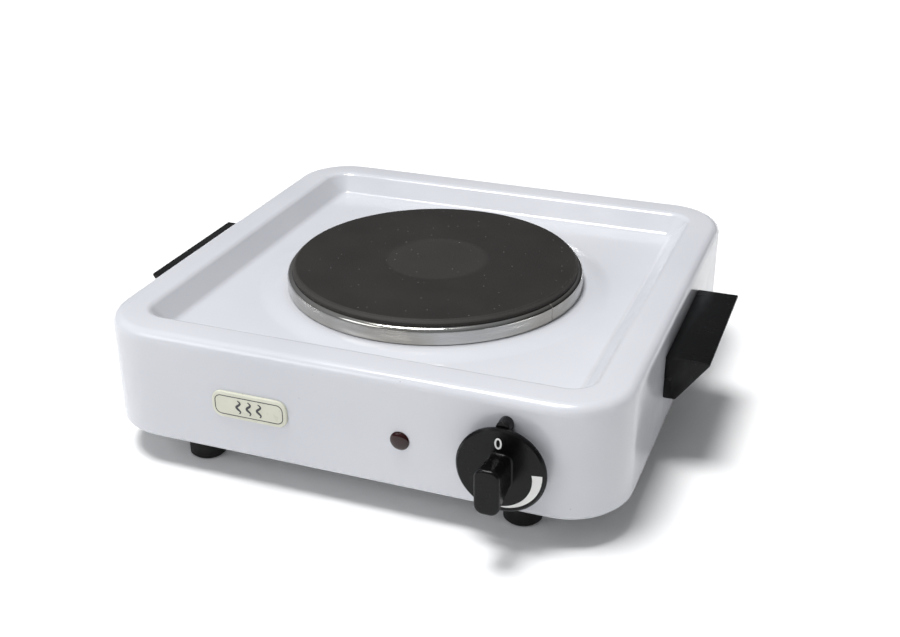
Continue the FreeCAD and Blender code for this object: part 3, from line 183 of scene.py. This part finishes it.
def prism(profile, start, end, place, bevel):
    """Straight prism between two depths, with all its edges rounded."""
    solid = bmesh.new()
    low = [solid.verts.new((u, v, start)) for u, v in profile]
    high = [solid.verts.new((u, v, end)) for u, v in profile]
    solid.faces.new(low)
    solid.faces.new(high)
    for i in range(len(profile)):
        k = (i + 1) % len(profile)
        solid.faces.new((low[i], low[k], high[k], high[i]))
    bmesh.ops.recalc_face_normals(solid, faces=solid.faces)
    bmesh.ops.bevel(solid, geom=solid.edges[:], offset=bevel, segments=3, profile=0.5,
                    affect="EDGES", clamp_overlap=True)
    solid.verts.index_update()
    verts = [place @ v.co for v in solid.verts]
    faces = [tuple(v.index for v in face.verts) for face in solid.faces]
    solid.free()
    return verts, faces


# ---------------------------------------------------------------- materials

def rgb(red, green, blue):
    return (red, green, blue, 1.0)


class Finish:
    """Node-based material built up from a Principled shader."""

    def __init__(self, name):
        self.material = bpy.data.materials.new(name)
        self.material.use_nodes = True
        self.nodes = self.material.node_tree.nodes
        self.links = self.material.node_tree.links
        self.shader = self.nodes["Principled BSDF"]
        self.where = self.nodes.new("ShaderNodeTexCoord").outputs["Object"]

    def plug(self, socket, value):
        """Link another node's output to a socket, or set the socket's own value."""
        if isinstance(value, bpy.types.NodeSocket):
            self.links.new(value, socket)
        else:
            socket.default_value = value

    def node(self, kind, inputs, **settings):
        """New node with its settings and its inputs filled in."""
        made = self.nodes.new(kind)
        for key, value in settings.items():
            setattr(made, key, value)
        for socket, value in inputs.items():
            self.plug(made.inputs[socket], value)
        return made

    def set(self, **values):
        """Fill in the shader's own sockets; an underscore stands for a space."""
        for key, value in values.items():
            self.plug(self.shader.inputs[key.replace("_", " ")], value)

    def noise(self, scale, detail=3.0, where=None, rough=0.5):
        made = self.node("ShaderNodeTexNoise", {"Vector": where or self.where, "Scale": scale,
                                                "Detail": detail, "Roughness": rough})
        return made.outputs["Fac"]

    def cells(self, scale):
        return self.node("ShaderNodeTexVoronoi", {"Vector": self.where, "Scale": scale})

    def between(self, value, low, high, to_low, to_high):
        """Value carried from one range to another, and held at its ends."""
        made = self.node("ShaderNodeMapRange", {"Value": value, "From Min": low, "From Max": high,
                                                "To Min": to_low, "To Max": to_high})
        return made.outputs["Result"]

    def mix(self, factor, first, second):
        made = self.node("ShaderNodeMix", {0: factor, 6: first, 7: second}, data_type="RGBA")
        return made.outputs[2]

    def uneven(self, scale, low, high, detail=3.0):
        """Value that wanders over the surface from low to high, as gloss does."""
        return self.between(self.noise(scale, detail), 0.3, 0.7, low, high)

    def two_tone(self, scale, first, second, detail=3.0):
        """Colour that drifts in patches between two close tones."""
        patches = self.between(self.noise(scale, detail), 0.35, 0.65, 0.0, 1.0)
        return self.mix(patches, rgb(*first), rgb(*second))

    def bump(self, height, strength, distance_m, under=None):
        """Surface relief, over another relief where one is given."""
        inputs = {"Height": height, "Strength": strength, "Distance": distance_m}
        if under is not None:
            inputs["Normal"] = under
        return self.node("ShaderNodeBump", inputs).outputs["Normal"]

    def mapped(self, scale, offset=(0, 0, 0)):
        return self.node("ShaderNodeMapping", {"Vector": self.where, "Scale": scale,
                                               "Location": offset}).outputs["Vector"]

    def height(self):
        """Height above the table."""
        return self.node("ShaderNodeSeparateXYZ", {"Vector": self.where}).outputs["Z"]

    def from_axis(self):
        """Place measured from the plate's upright axis, and the distance from that axis."""
        place = self.mapped((1, 1, 1), (-AXIS_M.x, -AXIS_M.y, 0))
        flat = self.node("ShaderNodeVectorMath", {0: place, 1: (1, 1, 0)}, operation="MULTIPLY")
        radius = self.node("ShaderNodeVectorMath", {0: flat.outputs["Vector"]}, operation="LENGTH")
        return place, radius.outputs["Value"]


def enamel():
    """Thick glossy vitreous enamel: slow waves, fine orange peel, dark specks, a thin grey foot."""
    foot_m, fade_m, ragged_m = 0.0160, 0.0014, 0.0007
    f = Finish("enamel_white")
    tone = f.two_tone(9.0, (0.585, 0.595, 0.635), (0.620, 0.630, 0.665), 2.0)
    wander = f.between(f.noise(60.0, 4.0), 0, 1, -ragged_m, ragged_m)
    level = f.node("ShaderNodeMath", {0: f.height(), 1: wander}, operation="ADD").outputs["Value"]
    foot = f.between(level, foot_m, foot_m + fade_m, 1.0, 0.0)
    tone = f.mix(foot, tone, rgb(0.42, 0.44, 0.48))
    specks = f.between(f.cells(95.0).outputs["Distance"], 0.018, 0.034, 0.55, 0.0)
    tone = f.mix(specks, tone, rgb(0.30, 0.29, 0.28))
    waves = f.bump(f.noise(22.0, 2.0), 0.30, 0.0012)
    peel = f.bump(f.noise(420.0, 2.0), 0.10, 0.0002, waves)
    f.set(Base_Color=tone, Roughness=f.uneven(35.0, 0.15, 0.26), Coat_Weight=0.25,
          Coat_Roughness=0.06, Normal=peel)
    return f.material


def cast_iron():
    """Dark matt iron: turned rings, gritty skin, a paler rim, a recess painted paler as painted light,
    pale dust specks.
    """
    recess_sheen_m, recess_sheen_end_m = 0.0235, 0.0275
    rim_m, rim_end_m = 0.0702, 0.0716
    f = Finish("cast_iron_dark")
    place, radius = f.from_axis()
    rings = f.node("ShaderNodeTexWave", {"Vector": place, "Scale": 330.0, "Distortion": 1.2,
                                         "Detail": 2.0, "Detail Scale": 0.6},
                   wave_type="RINGS", rings_direction="Z").outputs["Fac"]
    grit = f.noise(1500.0, 4.0, rough=0.7)
    tone = f.mix(f.uneven(28.0, 0.0, 1.0, 4.0),
                 rgb(0.0155, 0.0140, 0.0130), rgb(0.0225, 0.0205, 0.0190))
    tone = f.mix(f.between(grit, 0.52, 0.74, 0.0, 0.45), tone, rgb(0.046, 0.043, 0.040))
    # painted light: the recess is drawn paler than the iron round it, a painted sheen on the dish that
    # fades out at its edge
    recess = f.between(radius, recess_sheen_m, recess_sheen_end_m, 0.22, 0.0)
    tone = f.mix(recess, tone, rgb(0.060, 0.056, 0.052))
    dust = f.between(f.cells(210.0).outputs["Distance"], 0.045, 0.085, 0.75, 0.0)
    tone = f.mix(dust, tone, rgb(0.20, 0.19, 0.18))
    rim = f.between(radius, rim_m, rim_end_m, 0.0, 0.45)
    tone = f.mix(rim, tone, rgb(0.075, 0.070, 0.064))
    turned = f.bump(rings, 0.16, 0.00012)
    skin = f.bump(grit, 0.55, 0.00022, turned)
    f.set(Base_Color=tone, Roughness=f.between(grit, 0.3, 0.7, 0.52, 0.70),
          Specular_IOR_Level=0.24, Normal=skin)
    return f.material


def stainless():
    """Polished steel strip with fine lines along its length and faint straw-coloured heat tint."""
    f = Finish("stainless_polished")
    _, radius = f.from_axis()
    across = f.node("ShaderNodeCombineXYZ", {"X": radius, "Z": f.height()}).outputs["Vector"]
    lines = f.noise(5200.0, 2.0, across)
    dents = f.bump(f.noise(45.0, 2.0), 0.25, 0.0006)
    f.set(Base_Color=f.two_tone(26.0, (0.50, 0.50, 0.485), (0.40, 0.385, 0.35)), Metallic=1.0,
          Roughness=f.uneven(70.0, 0.10, 0.20), Normal=f.bump(lines, 0.10, 0.00008, dents))
    return f.material


def moulded(name, dark, light, rough, peel=300.0, strength=0.12, coat=0.0, scuffs=0.0, shine=0.5):
    """Moulded or fired surface: two close tones, uneven gloss, fine skin and optional scuffs."""
    f = Finish(name)
    tone = f.two_tone(40.0, dark, light)
    if scuffs:
        scratch = f.noise(260.0, 2.0, f.mapped((0.12, 1.0, 1.6)))
        pale = rgb(*[min(c * 3 + 0.02, 1.0) for c in light])
        tone = f.mix(f.between(scratch, 0.66, 0.78, 0.0, scuffs), tone, pale)
    f.set(Base_Color=tone, Roughness=f.uneven(90.0, *rough), Coat_Weight=coat,
          Coat_Roughness=0.08, Specular_IOR_Level=shine,
          Normal=f.bump(f.noise(peel, 3.0), strength, 0.00015))
    return f.material


def sheet_metal(name, dark, light, rough, spangle=0.0, drawn=(1.0, 1.0, 1.0)):
    """Plated or drawn metal: spangle or draw lines, uneven gloss, fine scratches."""
    f = Finish(name)
    streak = f.noise(900.0, 3.0, f.mapped(drawn))
    tone = f.mix(streak, rgb(*dark), rgb(*light))
    if spangle:
        colour = f.cells(160.0).outputs["Color"]
        cell = f.node("ShaderNodeSeparateXYZ", {"Vector": colour}).outputs["X"]
        tone = f.mix(f.between(cell, 0, 1, 0.0, spangle), tone, rgb(*[c * 0.72 for c in dark]))
    f.set(Base_Color=tone, Metallic=1.0, Roughness=f.uneven(120.0, *rough),
          Normal=f.bump(streak, 0.18, 0.0001))
    return f.material


def insulation(name, dark, light, stripe=None):
    """Soft plastic wire cover, with a second colour along it where there is a stripe."""
    f = Finish(name)
    tone = f.two_tone(200.0, dark, light, 2.0)
    if stripe:
        bands = f.node("ShaderNodeTexWave", {"Vector": f.where, "Scale": 95.0, "Distortion": 0.4},
                       bands_direction="DIAGONAL").outputs["Fac"]
        tone = f.mix(f.between(bands, 0.45, 0.55, 0.0, 1.0), tone, rgb(*stripe))
    f.set(Base_Color=tone, Roughness=f.uneven(300.0, 0.38, 0.52, 2.0),
          Normal=f.bump(f.noise(1200.0, 2.0), 0.15, 0.0001))
    return f.material


MATERIALS = {
    "enamel": enamel(),
    "iron": cast_iron(),
    "stainless": stainless(),
    "zinc_steel": sheet_metal("zinc_plated_steel", (0.52, 0.53, 0.55), (0.66, 0.67, 0.68),
                              (0.26, 0.42), 0.35),
    "resistance_wire": sheet_metal("resistance_alloy", (0.20, 0.18, 0.17), (0.34, 0.32, 0.30),
                                   (0.38, 0.55)),
    "brass": sheet_metal("stamped_brass", (0.60, 0.44, 0.18), (0.74, 0.57, 0.27),
                         (0.22, 0.38), 0.0, (1, 1, 0.1)),
    "rubber": moulded("foot_rubber", (0.012, 0.012, 0.012), (0.024, 0.023, 0.023),
                      (0.62, 0.80), 900.0, 0.3, shine=0.2),
    "cement": moulded("coil_cement", (0.55, 0.51, 0.43), (0.68, 0.64, 0.55),
                      (0.80, 0.95), 700.0, 0.9),
    "steatite": moulded("fired_steatite", (0.78, 0.75, 0.67), (0.84, 0.82, 0.75),
                        (0.34, 0.50), 420.0, 0.25),
    "phenolic": moulded("phenolic_black", (0.0020, 0.0020, 0.0022), (0.0036, 0.0035, 0.0037),
                        (0.20, 0.30), 240.0, 0.08, scuffs=0.03, shine=0.20),
    "moulding": moulded("moulding_dark", (0.030, 0.030, 0.032), (0.050, 0.050, 0.053),
                        (0.42, 0.58), 700.0, 0.3),
    "lens": moulded("lens_dark_red", (0.012, 0.0006, 0.0010), (0.024, 0.0010, 0.0016),
                    (0.05, 0.10), 160.0, 0.05, shine=0.45),
    "neon": moulded("neon_glass", (0.70, 0.52, 0.42), (0.82, 0.66, 0.55),
                    (0.05, 0.12), 200.0, 0.05),
    "badge": moulded("badge_cream", (0.58, 0.58, 0.47), (0.66, 0.66, 0.55),
                     (0.24, 0.36), 260.0, 0.08, coat=0.3),
    "print_white": moulded("print_white", (0.78, 0.78, 0.76), (0.86, 0.86, 0.84),
                           (0.36, 0.50), 800.0, 0.2),
    "print_dark": moulded("print_dark", (0.030, 0.030, 0.034), (0.050, 0.050, 0.055),
                          (0.30, 0.44), 800.0, 0.2),
    "wire_brown": insulation("wire_cover_brown", (0.13, 0.055, 0.022), (0.17, 0.075, 0.032)),
    "wire_blue": insulation("wire_cover_blue", (0.020, 0.085, 0.32), (0.030, 0.11, 0.38)),
    "wire_earth": insulation("wire_cover_earth", (0.55, 0.50, 0.03), (0.62, 0.57, 0.05),
                             (0.04, 0.26, 0.05)),
}

for entry in frame["record"]["subparts"]:
    carried = NODES[entry["node"]]
    carried.data.materials.clear()
    carried.data.materials.append(MATERIALS[entry["material_slot"]])


# ---------------------------------------------------------------- casing and plate

def casing():
    """One enamelled skin from the flange under the wall, over the rim, down to the plate's hole."""
    sheet_thickness, corner, flange = 1.0, 30.0, 14.0
    rim_width, slope_end, panel_start = 17.0, 26.2, 29.0
    foot_fold, rim_outside, rim_inside, slope_fold = 1.6, 5.0, 4.5, 5.0
    rise_height, rise_foot, rise_top, hole_radius = 1.5, 90.3, 79.0, 69.5
    panel_rows, rise_rows = 7, 14

    low, high = span("enamel_body")
    middle, half = (low + high) / 2, (high - low) / 2
    panel = RING_LOW.z - rise_height
    side = rounded([(flange, low.z, 0), (0, low.z, foot_fold), (0, high.z, rim_outside),
                    (rim_width, high.z, rim_inside), (slope_end, panel, slope_fold),
                    (panel_start, panel, 0)], 9)[:-1]
    rows = []
    for inset, z in side:
        loop = outline(half.x, half.y, corner, inset, 16, 24)
        rows.append([(middle.x + x, middle.y + y, z) for x, y in loop])
    inner = rows[-1]
    angles = [math.atan2(y - AXIS.y, x - AXIS.x) for x, y, _ in inner]

    def circle(radius, z):
        return [(AXIS.x + radius * math.cos(a), AXIS.y + radius * math.sin(a), z) for a in angles]

    foot_ring = circle(rise_foot, panel)
    for k in range(1, panel_rows):
        t = k / panel_rows
        rows.append([Vector(a).lerp(Vector(b), t) for a, b in zip(inner, foot_ring)])
    for k in range(rise_rows + 1):
        t = k / rise_rows
        ease = t * t * (3 - 2 * t)
        rows.append(circle(rise_foot + (rise_top - rise_foot) * t, panel + rise_height * ease))
    rows.append(circle(hole_radius, RING_LOW.z))
    skin = new_piece("enamel_shell", *bridge(rows), "casing", "enamel", 50)
    sheet = skin.modifiers.new("sheet", "SOLIDIFY")
    sheet.thickness = sheet_thickness * MM
    sheet.offset = -1.0
    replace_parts(skin, "enamel_body")


def iron_plate():
    """Turned iron plate with softened edges, a shallow recess, and the coil groove beneath."""
    recess, recess_radius, recess_edge, recess_blend = 0.6, 24.2, 27.0, 9.0
    chamfer, groove_depth, wall, hub, stud, stud_depth = 1.7, 6.4, 4.5, 13.0, 3.1, 7.0
    top, foot, radius = PLATE_HIGH.z, PLATE_LOW.z, PLATE_RADIUS
    skirt, groove = radius - 6.0, top - groove_depth
    profile = rounded([(0, top - recess, 0), (recess_radius, top - recess, recess_blend),
                       (recess_edge, top, recess_blend), (radius - chamfer, top, 1.0),
                       (radius, top - chamfer, 0.8), (radius, RING_SEAT, 0), (skirt, RING_SEAT, 0),
                       (skirt, foot, 0.8), (skirt - wall, foot, 0), (skirt - wall, groove, 0),
                       (hub, groove, 0), (hub, foot, 0), (stud, foot, 0),
                       (stud, top - stud_depth, 0), (0, top - stud_depth, 0)], 5)
    at = Matrix.Translation((AXIS.x, AXIS.y, 0))
    iron = new_piece("iron_plate", *lathe(profile, full_turn(288), at), "casing", "iron", 40)
    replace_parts(iron, "hotplate_casting")


def ring_band():
    """Rolled steel ring round the plate, with its butt seam."""
    gap, inner_edge, edge_in, edge_up = 0.1, 68.2, 0.5, 0.4
    seam, seam_depth, clear_of_seam = math.radians(-21), 0.45, 0.012
    roll_start = PLATE_RADIUS + gap
    lip = RING_RADIUS - roll_start

    def roll(radius, steps):
        """Quarter circle of the rolled lip, from its outer side to its top."""
        turn = [math.pi / 2 * k / steps for k in range(steps + 1)]
        return [(roll_start + radius * math.cos(a), RING_HIGH.z - lip + radius * math.sin(a))
                for a in turn]

    edge = [(inner_edge, RING_LOW.z), (RING_RADIUS - edge_in, RING_LOW.z),
            (RING_RADIUS, RING_LOW.z + edge_up)]
    inside = roll(lip - STRIP, 6)[::-1]
    loop = edge + roll(lip, 10) + inside + [(RING_RADIUS - STRIP, RING_SEAT), (inner_edge, RING_SEAT)]
    stations = [(a, shrink) for a, shrink in full_turn(360)
                if abs(math.remainder(a - seam, 2 * math.pi)) > clear_of_seam]
    stations += [(seam - 0.005, 0.0), (seam - 0.0015, seam_depth),
                 (seam + 0.0015, seam_depth), (seam + 0.005, 0.0)]
    stations.sort(key=lambda station: station[0] % (2 * math.pi))
    at = Matrix.Translation((AXIS.x, AXIS.y, 0))
    strip = new_piece("spill_ring_band", *lathe(loop, stations, at), "casing", "stainless", 40)
    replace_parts(strip, "spill_ring")


# ---------------------------------------------------------------- front wall

def front_of(node):
    """Middle (x, z), half width, half height and front face of a node on the front wall."""
    low, high = span(node)
    middle, half = (low + high) / 2, (high - low) / 2
    return middle.x, middle.z, half.x, half.z, low.y


def ellipse(cx, cz, half_w, half_h):
    turn = [2 * math.pi * k / 48 for k in range(48)]
    return [(cx + half_w * math.cos(a), cz + half_h * math.sin(a)) for a in turn]


def printed(name, outer, inner, body, finish, y, lift):
    """Thin raised print on a face that looks towards -Y, between an outer and an inner edge."""
    back, front = y + 0.05, y - lift
    rows = [[(x, depth, z) for x, z in ring]
            for ring, depth in ((outer, back), (outer, front), (inner, front), (inner, back))]
    new_piece(name, *bridge(rows + rows[:1]), body, "badge", 30, finish)


def ribbon(name, path, widths, body, finish, y, lift):
    """Flat raised stroke along a path of (x, z) points with a half width at each."""
    left, right = [], []
    for i, (x, z) in enumerate(path):
        x0, z0 = path[max(i - 1, 0)]
        x1, z1 = path[min(i + 1, len(path) - 1)]
        run = Vector((x1 - x0, z1 - z0)).normalized()
        side = Vector((-run.y, run.x)) * widths[i]
        left.append((x + side.x, z + side.y))
        right.append((x - side.x, z - side.y))
    edge = left + right[::-1]
    verts, faces = bridge([[(x, depth, z) for x, z in edge] for depth in (y + 0.1, y - lift)])
    count = len(edge)
    for base in (0, count):
        for i in range(len(path) - 1):
            far = base + count - 1 - i
            faces.append((base + i, base + i + 1, far - 1, far))
    new_piece(name, verts, faces, body, "badge", 30, finish)


def dial_marks():
    """White zero below the pointer and the band that narrows from three o'clock to six."""
    lift = 0.07
    cx, cz = DIAL.x - 1.0, DIAL.z + 13.1
    printed("dial_zero", ellipse(cx, cz, 1.60, 2.65), ellipse(cx, cz, 0.85, 1.80),
            "control", "print_white", SKIRT_FACE, lift)
    path, widths = [], []
    for k in range(41):
        t = k / 40
        angle = math.radians(4 - 92 * t)
        inner, outer = 13.7 + 3.3 * t, 18.3 - 0.9 * t
        middle = (inner + outer) / 2
        path.append((DIAL.x + middle * math.cos(angle), DIAL.z + middle * math.sin(angle)))
        widths.append((outer - inner) / 2)
    ribbon("dial_band", path, widths, "control", "print_white", SKIRT_FACE, lift)


def pointer():
    """Small arched block that stands on the wall above the knob."""
    sunk, bevel = 0.4, 0.45
    cx, cz, half_w, half_h, front = front_of("dial_pointer")
    foot, shoulder = cz - half_h, cz + half_h - half_w
    turn = [math.pi * k / 16 for k in range(17)]
    arch = [(cx + half_w * math.cos(a), shoulder + half_w * math.sin(a)) for a in turn]
    arch = [(x, z) for x, z in arch if z >= foot]
    profile = arch + [(arch[-1][0], foot), (arch[0][0], foot)]
    stand = Matrix(((1, 0, 0, 0), (0, 0, 1, 0), (0, 1, 0, 0), (0, 0, 0, 1)))
    block = prism(profile, front, WALL_FACE + sunk, stand, bevel)
    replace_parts(new_piece("pointer_block", *block, "casing", "phenolic", 35), "dial_pointer")


def lens():
    """Domed pilot lens with a small shoulder."""
    sunk, shoulder, dome_foot, dome_in, steps = 0.6, 0.35, 0.45, 0.25, 14
    cx, cz, radius, _, front = front_of("pilot_lens")
    rise = WALL_FACE - front
    profile = [(0, sunk), (radius - 0.9, sunk), (radius - 0.7, 0.0), (radius, 0.0),
               (radius, -shoulder)]
    for k in range(1, steps + 1):
        a = math.pi / 2 * k / steps
        profile.append(((radius - dome_in) * math.cos(a),
                        -dome_foot - (rise - dome_foot) * math.sin(a)))
    face = Matrix.Translation((cx, WALL_FACE, cz)) @ Matrix.Rotation(math.radians(-90), 4, "X")
    dome = new_piece("pilot_dome", *lathe(profile, full_turn(72), face), "casing", "lens", 40)
    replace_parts(dome, "pilot_lens")


def badge():
    """Pillowed oblong badge with a border and three wavy heat lines."""
    corner, line_pitch, line_height, sway = 5.0, 5.2, 6.6, 0.95
    cx, cz, half_w, half_h, front = front_of("badge_plate")
    depth = WALL_FACE - front

    def loop(inset):
        return [(cx + x, cz + z) for x, z in outline(half_w, half_h, corner, inset, 10, 8)]

    pillow = rounded([(0, -0.2, 0), (0, depth * 0.86, 0.55), (2.4, depth, 4.0), (5.5, depth, 0)], 6)
    rows = [[(x, WALL_FACE - lift, z) for x, z in loop(inset)] for inset, lift in pillow]
    plate = new_piece("badge_face", *bridge(rows, close_ends=True), "casing", "badge", 35)
    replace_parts(plate, "badge_plate")
    printed("badge_border", loop(1.75), loop(2.15), "casing", "print_dark", front + 0.02, 0.05)
    for i in (1, 2, 3):
        middle = cx + line_pitch * (i - 2)
        path, widths = [], []
        for k in range(33):
            t = k / 32
            path.append((middle + sway * math.sin(2 * math.pi * (1.5 * t + 0.05)),
                         cz + line_height * (t - 0.5)))
            widths.append(0.22 + 0.36 * math.sin(math.pi * t))
        ribbon(f"badge_heat_line_{i}", path, widths, "casing", "print_dark", front, 0.08)


# ---------------------------------------------------------------- side handles

def handle(side, node):
    """Wedge handle with a flat top, leaning face and softened edges; side is +1 or -1 along X."""
    foot_reach, tip, bevel = 5.8, 1.4, 0.75
    low, high = span(node)
    wall, reach = (high.x if side < 0 else low.x), high.x - low.x
    profile = [(0, low.z), (foot_reach, low.z), (reach, high.z - tip), (reach, high.z), (0, high.z)]
    stand = Matrix(((side, 0, 0, wall), (0, 0, 1, 0), (0, 1, 0, 0), (0, 0, 0, 1)))
    wedge = prism(profile, low.y, high.y, stand, bevel)
    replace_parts(new_piece(f"{node}_wedge", *wedge, "casing", "phenolic", 28), node)


casing()
iron_plate()
ring_band()
dial_marks()
pointer()
lens()
badge()
handle(1, "right_handle")
handle(-1, "left_handle")


# ---------------------------------------------------------------- stage

def floor():
    """Pale matt studio floor, which lifts its own shadows a little."""
    half_m = 4
    f = Finish("studio_floor")
    tone = f.mix(f.uneven(3.0, 0.0, 1.0), rgb(0.90, 0.90, 0.90), rgb(0.93, 0.93, 0.93))
    f.set(Base_Color=tone, Roughness=f.between(f.noise(40.0, 2.0), 0, 1, 0.75, 0.9),
          Emission_Color=rgb(1.0, 1.0, 1.0), Emission_Strength=0.03)
    corners = [(-half_m, -half_m, 0), (half_m, -half_m, 0), (half_m, half_m, 0), (-half_m, half_m, 0)]
    mesh = bpy.data.meshes.new("floor")
    mesh.from_pydata(corners, [], [(0, 1, 2, 3)])
    mesh.materials.append(f.material)
    ground = bpy.data.objects.new("floor", mesh)
    bpy.context.scene.collection.objects.link(ground)


def camera():
    """Camera at the fitted viewpoint, to the right of the front and about 26 degrees up."""
    azimuth, elevation, roll = 0.36370, 0.45140, -0.00423      # radians
    place = Vector((214.138, -538.660, 321.851))
    away = Vector((math.sin(azimuth) * math.cos(elevation),
                   -math.cos(azimuth) * math.cos(elevation), math.sin(elevation)))
    right = (-away).cross(Vector((0, 0, 1))).normalized()
    up = right.cross(-away)
    across = right * math.cos(roll) + up * math.sin(roll)
    over = -right * math.sin(roll) + up * math.cos(roll)
    turn = Matrix((across, over, away)).transposed().to_4x4()
    data = bpy.data.cameras.new("camera")
    data.sensor_width = 36.0
    data.lens = 49.8552
    eye = bpy.data.objects.new("camera", data)
    eye.matrix_world = Matrix.Translation(place * MM) @ turn
    bpy.context.scene.collection.objects.link(eye)
    bpy.context.scene.camera = eye


def sky():
    """World light that is palest high up on the left, towards the front."""
    world = bpy.data.worlds.new("studio")
    world.use_nodes = True
    nodes, links = world.node_tree.nodes, world.node_tree.links
    bright = nodes.new("ShaderNodeVectorMath")
    bright.operation = "DOT_PRODUCT"
    links.new(nodes.new("ShaderNodeTexCoord").outputs["Generated"], bright.inputs[0])
    bright.inputs[1].default_value = (-0.38, -0.30, 0.87)
    climb = nodes.new("ShaderNodeMapRange")
    links.new(bright.outputs["Value"], climb.inputs["Value"])
    for socket, value in (("From Min", -0.25), ("From Max", 0.90), ("To Min", 0.03), ("To Max", 0.40)):
        climb.inputs[socket].default_value = value
    background = nodes["Background"]
    background.inputs["Color"].default_value = rgb(0.95, 0.97, 1.0)
    links.new(climb.outputs["Result"], background.inputs["Strength"])
    bpy.context.scene.world = world


def lamp(data, at_m, towards_light):
    """Place a light that shines from the side of `towards_light`."""
    source = bpy.data.objects.new(data.name, data)
    turn = Vector(towards_light).to_track_quat("Z", "Y").to_matrix().to_4x4()
    source.matrix_world = Matrix.Translation(at_m) @ turn
    bpy.context.scene.collection.objects.link(source)


def lights():
    """Soft overhead key and a front fill from the left."""
    key = bpy.data.lights.new("key", "SUN")
    key.energy = 3.1
    key.angle = math.radians(24)
    lamp(key, (0, 0, 0), (-0.16, -0.08, 1.0))
    fill = bpy.data.lights.new("fill_left", "AREA")
    fill.shape = "RECTANGLE"
    fill.size, fill.size_y = 0.7, 0.5
    fill.energy = 3.2
    fill.color = (0.96, 0.97, 1.0)
    at_m, aim_m = Vector((-0.75, -0.95, 0.80)), Vector((0, 0, 0.03))
    lamp(fill, at_m, at_m - aim_m)


floor()
camera()
sky()
lights()
bpy.context.scene.view_settings.view_transform = "Standard"
